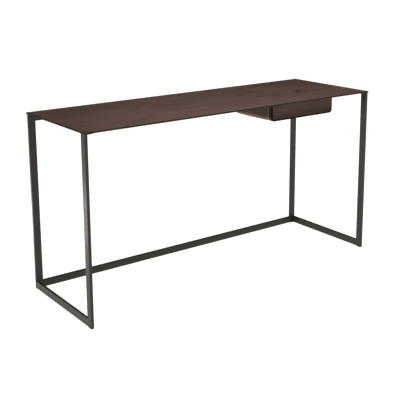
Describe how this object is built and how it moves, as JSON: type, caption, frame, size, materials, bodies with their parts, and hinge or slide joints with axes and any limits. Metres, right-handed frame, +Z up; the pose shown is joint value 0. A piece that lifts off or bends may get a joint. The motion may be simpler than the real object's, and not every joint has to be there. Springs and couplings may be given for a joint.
{
  "type": "writing desk",
  "caption": "Slim writing desk: open flat-tube steel frame, thin hide-covered steel top, flush hinged lid with a finger hole, and a hide-covered drawer below it.",
  "frame": {"origin": "middle of the footprint, on the floor", "axes": "+X to the sitter's right along the long side, +Y away from the sitter, +Z up"},
  "size_m": [1.4, 0.47, 0.72],
  "materials": {
    "frame_paint": "satin dark graphite paint",
    "hide": "dark brown saddle hide, matt",
    "dark_steel": "blackened",
    "eyelet_paint": "matt black",
    "black_plastic": "matt",
    "black_rubber": "matt",
    "felt": "wool felt"
  },
  "bodies": {
    "desk": {"front_left_leg": "frame_paint", "front_right_leg": "frame_paint", "rear_left_leg": "frame_paint", "rear_right_leg": "frame_paint", "left_floor_rail": "frame_paint", "right_floor_rail": "frame_paint", "rear_floor_rail": "frame_paint", "rear_top_rail": "frame_paint", "foot_glides": "black_plastic", "fixing_tabs": "frame_paint", "tab_screws": "dark_steel", "top_sheet": "frame_paint", "top_hide": "hide", "lid_ledge": "frame_paint", "lid_felt": "felt", "top_hinge_leaf": "dark_steel", "hinge_pin": "dark_steel", "left_runner": "frame_paint", "right_runner": "frame_paint", "glide_strips": "black_plastic", "runner_screws": "dark_steel", "open_stop_screws": "dark_steel", "close_bumpers": "black_rubber"},
    "lid": {"lid_hinge_leaf": "dark_steel", "lid_sheet": "frame_paint", "lid_hide": "hide", "finger_eyelet": "eyelet_paint"},
    "drawer": {"drawer_tray": "frame_paint", "drawer_wrap": "hide", "drawer_rear_hide": "hide", "front_outer_hide": "hide", "front_core": "hide", "front_inner_hide": "hide", "front_screws": "dark_steel", "drawer_lining": "felt"}
  },
  "joints": [
    {"name": "lid_hinge", "type": "hinge", "parent": "desk", "child": "lid", "pos_m": [0.463, 0.1714, 0.719], "axis": [-1, 0, 0], "range_deg": [0, 95]},
    {"name": "drawer_slide", "type": "slide", "parent": "desk", "child": "drawer", "axis": [0, -1, 0], "range_m": [0, 0.245]}
  ]
}
